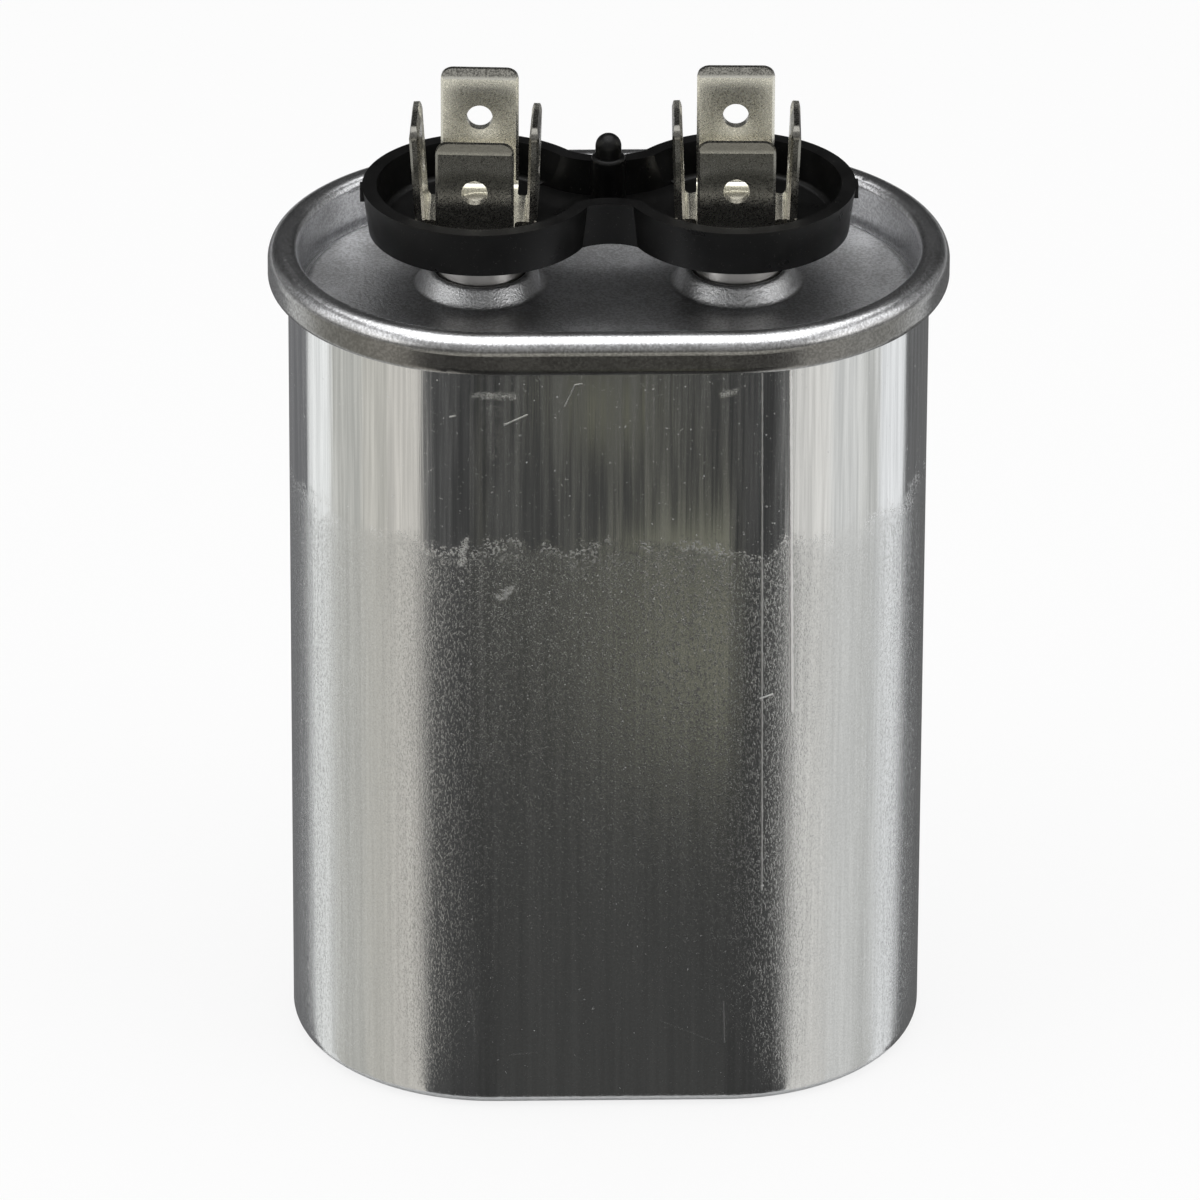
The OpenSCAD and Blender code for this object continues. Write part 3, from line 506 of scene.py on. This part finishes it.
# distances from the centre line at which the crest and the outer wall begin, and how
# far along the lid the painted shade on the outer wall fades, and the share left at the ends
CREST_FROM, CREST_FULL = 0.0150, 0.0154
WALL_FROM, WALL_FULL = 0.01775, 0.01815
ENDS_FROM, ENDS_FULL, ENDS_SHADE_SHARE = 0.0225, 0.0272, 0.35
PANEL_DARK, PANEL_BRIGHT = (0.50, 0.50, 0.505), (0.76, 0.765, 0.78)
# painted shade: the dark, mottled tones of the seam's outer wall
WALL_SHADE_DARK, WALL_SHADE_BRIGHT = (0.20, 0.196, 0.187), (0.29, 0.285, 0.275)
# painted shade: a darker tone laid over each boss of the lid
BOSS_SHADE_TONE, BOSS_SHADE_SHARE = (0.34, 0.34, 0.335), 0.4
PANEL_WAVES, CLOUD_WAVES = 4600.0, 220.0
PANEL_ROUGH, CREST_ROUGH, CLOUD_ROUGHER = 0.33, 0.22, 0.08
CLOUD_SHARE, GRAIN_SHARE = 0.6, 0.4
PANEL_WORN_FROM, PANEL_WORN_FULL = 0.3, 0.7
WALL_SHADE_MOTTLE_FROM, WALL_SHADE_MOTTLE_FULL = 0.35, 0.65
CREST_GRAIN, LID_RELIEF_DEPTH = 0.12, 0.000016

rolled, tree, shader, place = finish_material("rolled_aluminium", (0.62, 0.63, 0.65), 1.0, 0.35)
skin = place_group(tree, speckle, {"Place": place, "Grain": PANEL_WAVES})["Speckle"]
distance = place_group(tree, oval, {"Place": place})["Distance"]
boss = place_group(tree, flow, {"Place": place})
on_seam = ramp(tree, distance, CREST_FROM, CREST_FULL)
on_wall = ramp(tree, distance, WALL_FROM, WALL_FULL)
along_lid = math_node(tree, "ABSOLUTE", axes_of(tree, place)[0])
# painted shade: the seam's outer wall gets a dark, mottled colour for the dark front it faces,
# thinning towards the ends
wall_shade = math_node(tree, "MULTIPLY", on_wall,
                   ramp(tree, along_lid, ENDS_FROM, ENDS_FULL, 1.0, ENDS_SHADE_SHARE))
cloud = noise(tree, place, CLOUD_WAVES, 4.0)
roughness = ramp(tree, on_seam, 0.0, 1.0, PANEL_ROUGH, CREST_ROUGH)
roughness = math_node(tree, "MULTIPLY_ADD", cloud, CLOUD_ROUGHER, roughness)
tree.links.new(roughness, shader.inputs["Roughness"])

worn = math_node(tree, "MULTIPLY_ADD", cloud, CLOUD_SHARE,
                 math_node(tree, "MULTIPLY", skin, GRAIN_SHARE))
plain = ramp(tree, worn, PANEL_WORN_FROM, PANEL_WORN_FULL)
plain = blend_colors(tree, plain, PANEL_DARK, PANEL_BRIGHT)
# painted shade: the panel's colour is darkened over each boss to hold down its reflections
boss_shade = math_node(tree, "MULTIPLY", boss["Mask"], BOSS_SHADE_SHARE)
plain = blend_colors(tree, boss_shade, plain, BOSS_SHADE_TONE)
wall_shade_tone = ramp(tree, worn, WALL_SHADE_MOTTLE_FROM, WALL_SHADE_MOTTLE_FULL)
wall_shade_tone = blend_colors(tree, wall_shade_tone, WALL_SHADE_DARK, WALL_SHADE_BRIGHT)
tree.links.new(blend_colors(tree, wall_shade, plain, wall_shade_tone), shader.inputs["Base Color"])

geometry = tree.nodes.new("ShaderNodeNewGeometry")
smooth = add(tree, "ShaderNodeMix", {
    0: boss["Mask"], 4: geometry.outputs["Normal"], 5: boss["Normal"]},
    out=1, data_type="VECTOR")
relief = math_node(tree, "MULTIPLY", skin, ramp(tree, on_seam, 0.0, 1.0, 1.0, CREST_GRAIN))
tree.links.new(add(tree, "ShaderNodeBump", {
    "Height": relief, "Strength": 1.0, "Distance": LID_RELIEF_DEPTH, "Normal": smooth}),
    shader.inputs["Normal"])
dress(rolled, "lid")
dress(finish_material("seam_compound", (0.02, 0.02, 0.02), 0.0, 0.7)[0], "seam_compound")


# ------------------------------------------------------------------ seals
# A rubber gasket fills each boss of the lid, and a metal ferrule stands in it
# up to the underside of the cup.

dress(finish_material("gasket_rubber", (0.015, 0.015, 0.015), 0.0, 0.75)[0],
      "left_gasket", "right_gasket")
dress(finish_material("ferrule_metal", (0.60, 0.585, 0.56), 1.0, 0.30)[0],
      "left_ferrule", "right_ferrule")


# ------------------------------------------------------------------ terminal cup
# One black moulding: a round tray under each terminal, a bridge between the two
# and a post on the bridge. The studs clamp it down on the ferrules.

MOULDED_BLACK, NICK_GREY = (0.003, 0.003, 0.003), (0.05, 0.05, 0.045)
NICK_WAVES, NICK_FROM, NICK_FULL = 5200.0, 0.66, 0.74
SHEEN_WAVES, SHEEN_FROM, SHEEN_FULL = 380.0, 0.3, 0.7
GLOSSY_BLACK, SATIN_BLACK = 0.27, 0.42

black, tree, shader, place = finish_material("black_moulding", MOULDED_BLACK, 0.0, 0.34)
shader.inputs["Specular IOR Level"].default_value = 0.27
nicks = ramp(tree, noise(tree, place, NICK_WAVES, 2.0, 0.7), NICK_FROM, NICK_FULL)
tree.links.new(blend_colors(tree, nicks, MOULDED_BLACK, NICK_GREY), shader.inputs["Base Color"])
sheen = noise(tree, place, SHEEN_WAVES, 3.0)
sheen = ramp(tree, sheen, SHEEN_FROM, SHEEN_FULL, GLOSSY_BLACK, SATIN_BLACK)
tree.links.new(sheen, shader.inputs["Roughness"])
dress(black, "terminal_cup")


# ------------------------------------------------------------------ crowns
# Each terminal is folded from one cross of tin-plated steel, four blades round a
# base plate, and is riveted down by the head of its stud.

REAR_FROM, REAR_FULL = 0.0005, 0.0015
BLADES_FROM, BLADES_FULL = 0.0765, 0.0785
FRONT_LEAN, REAR_LEAN = -0.06, 0.23
FRONT_TIP, REAR_TIP_RISE = 0.0809, 0.0023
TIN_DARK, TIN_BRIGHT = (0.62, 0.60, 0.55), (0.76, 0.74, 0.68)
# painted shade on the front blades and painted light on the rear of the crown
TIN_FRONT_SHADE, TIN_REAR_LIGHT, TIN_TIP_DARK = (0.27, 0.265, 0.24), (0.98, 0.96, 0.87), (0.16, 0.155, 0.14)
FRONT_SHADE_SHARE, TIP_DARK_LEAST, TIP_DARK_MOST = 0.88, 0.45, 0.95
MOTTLE_WAVES, TIN_WAVES, TIN_SHARE = 1500.0, 7000.0, 0.3
TIN_ROUGH, TIN_ROUGHER, TIN_RELIEF_DEPTH = 0.22, 0.12, 0.000003
TIP_FROM, TIP_FULL = -0.0001, 0.0002
BROAD_FROM, BROAD_FULL = 0.0012, 0.0016

tin, tree, shader, place = finish_material("tin_plate", (0.62, 0.60, 0.56), 1.0, 0.23)
skin = place_group(tree, speckle, {"Place": place, "Grain": MOTTLE_WAVES})["Speckle"]
fine_skin = place_group(tree, speckle, {"Place": place, "Grain": TIN_WAVES})["Speckle"]
_, y, height = axes_of(tree, place)
behind = ramp(tree, y, REAR_FROM, REAR_FULL)
rising = ramp(tree, height, BLADES_FROM, BLADES_FULL)

# the rear blades lean back a little, so their faces see farther out than the front ones
lean = math_node(tree, "MULTIPLY_ADD", behind, REAR_LEAN, FRONT_LEAN)
lean = add(tree, "ShaderNodeCombineXYZ", {2: math_node(tree, "MULTIPLY", lean, rising)})
grain = add(tree, "ShaderNodeBump", {
    "Height": math_node(tree, "MULTIPLY_ADD", fine_skin, TIN_SHARE, skin),
    "Strength": 1.0, "Distance": TIN_RELIEF_DEPTH})
leaning = add(tree, "ShaderNodeVectorMath", {0: grain, 1: lean}, operation="ADD")
leaning = add(tree, "ShaderNodeVectorMath", {0: leaning}, operation="NORMALIZE")
tree.links.new(leaning, shader.inputs["Normal"])

# the bevelled tips are darker and mottled
tip = math_node(tree, "ADD", FRONT_TIP, math_node(tree, "MULTIPLY", behind, REAR_TIP_RISE))
at_tip = ramp(tree, math_node(tree, "SUBTRACT", height, tip), TIP_FROM, TIP_FULL)
off_middle = ramp(tree, math_node(tree, "ABSOLUTE", y), BROAD_FROM, BROAD_FULL)
dark_tip = math_node(tree, "MULTIPLY", at_tip, off_middle)
mottle = ramp(tree, fine_skin, 0.0, 1.0, TIP_DARK_MOST, TIP_DARK_LEAST)
dark_tip = math_node(tree, "MULTIPLY", dark_tip, mottle)
tinned = blend_colors(tree, skin, TIN_DARK, TIN_BRIGHT)
# painted shade and painted light: the front blades take a darker copy of the tin's colour and
# the rear of the crown a near-white one, for how each faces the light
front_shade = math_node(tree, "MULTIPLY", rising, FRONT_SHADE_SHARE)
tinned = blend_colors(tree, front_shade, tinned, TIN_FRONT_SHADE)
tinned = blend_colors(tree, behind, tinned, TIN_REAR_LIGHT)
tinned = blend_colors(tree, dark_tip, tinned, TIN_TIP_DARK)
tree.links.new(tinned, shader.inputs["Base Color"])
roughness = math_node(tree, "MULTIPLY_ADD", fine_skin, TIN_ROUGHER, TIN_ROUGH)
tree.links.new(roughness, shader.inputs["Roughness"])
dress(tin, "left_crown", "right_crown", "left_stud", "right_stud")


# ------------------------------------------------------------------ inside
# The film winding with its core, end sprays and wrap stands in the base insulator;
# leads, bushings and the disconnect plate join it to the studs.

INNER_WAVES, INNER_RELIEF, INNER_RELIEF_DEPTH = 1800.0, 0.3, 0.00003

# name, colour, metallic, roughness and the pieces that have it
for name, color, metallic, rough, nodes in (
        ("pressed_board", (0.60, 0.40, 0.22), 0.0, 0.8, ["left_bushing", "right_bushing"]),
        ("brown_moulding", (0.30, 0.15, 0.07), 0.0, 0.5, ["disconnect_plate"]),
        ("tinned_tape", (0.75, 0.74, 0.71), 1.0, 0.35, ["left_lead", "right_lead"]),
        ("insulating_paper", (0.80, 0.74, 0.58), 0.0, 0.8, ["lead_sleeve"]),
        ("metallised_film", (0.80, 0.81, 0.83), 1.0, 0.3, ["winding"]),
        ("core_tube", (0.82, 0.82, 0.80), 0.0, 0.5, ["winding_core"]),
        ("sprayed_zinc", (0.45, 0.45, 0.46), 1.0, 0.7, ["top_end_spray", "bottom_end_spray"]),
        ("wrap_film", (0.85, 0.78, 0.55), 0.0, 0.4, ["winding_wrap"]),
        ("grey_moulding", (0.12, 0.14, 0.16), 0.0, 0.55, ["base_insulator"])):
    inner, tree, shader, place = finish_material(name, color, metallic, rough)
    grain = place_group(tree, speckle, {"Place": place, "Grain": INNER_WAVES})["Speckle"]
    tree.links.new(add(tree, "ShaderNodeBump", {
        "Height": grain, "Strength": INNER_RELIEF, "Distance": INNER_RELIEF_DEPTH}),
        shader.inputs["Normal"])
    dress(inner, *nodes)
